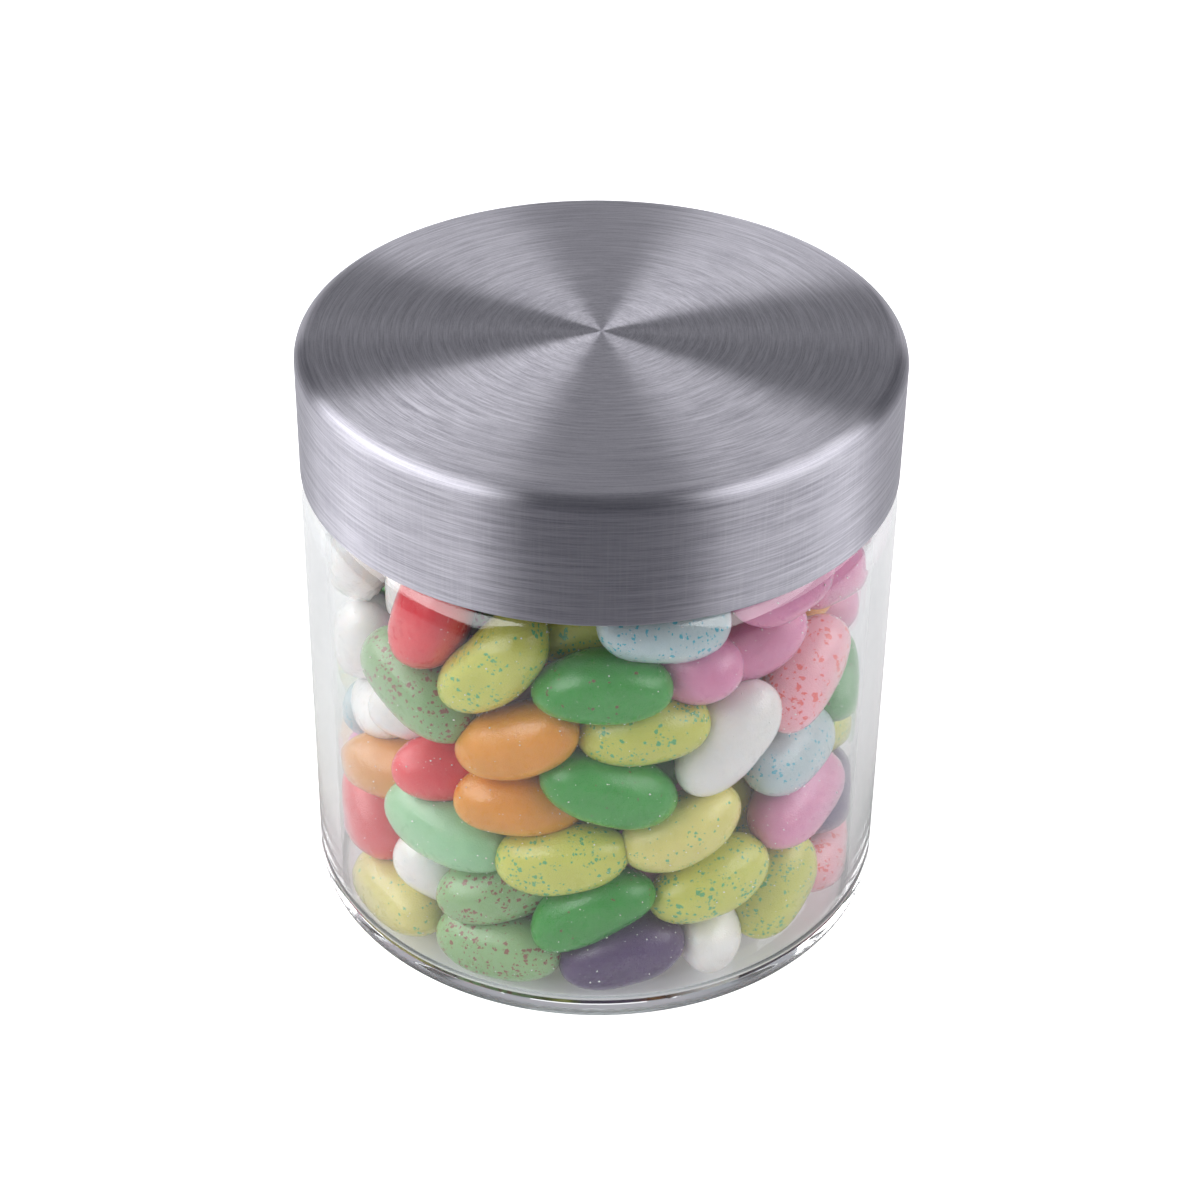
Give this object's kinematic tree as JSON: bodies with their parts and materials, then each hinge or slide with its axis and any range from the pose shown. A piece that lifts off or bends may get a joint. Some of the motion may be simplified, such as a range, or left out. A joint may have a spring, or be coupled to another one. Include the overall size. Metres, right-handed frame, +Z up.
{
  "type": "jar of jelly beans",
  "caption": "Squat clear glass jar full of mixed speckled jelly beans, shut by a plain brushed steel cap as wide as the glass.",
  "frame": {"origin": "centre of the face that the jar stands on", "axes": "+Z up along the axis of the jar, -Y towards the side that the picture shows"},
  "size_m": [0.082, 0.082, 0.0865],
  "materials": {
    "glass": "clear, smooth pressed glass",
    "brushed_steel": "fine circular brushing, satin",
    "jelly_bean": "sugar shell, soft gloss, mixed pastel colours with specks"
  },
  "bodies": {
    "root": {"glass_jar": "glass", "steel_cap": "brushed_steel", "jelly_beans": "jelly_bean"}
  },
  "joints": []
}
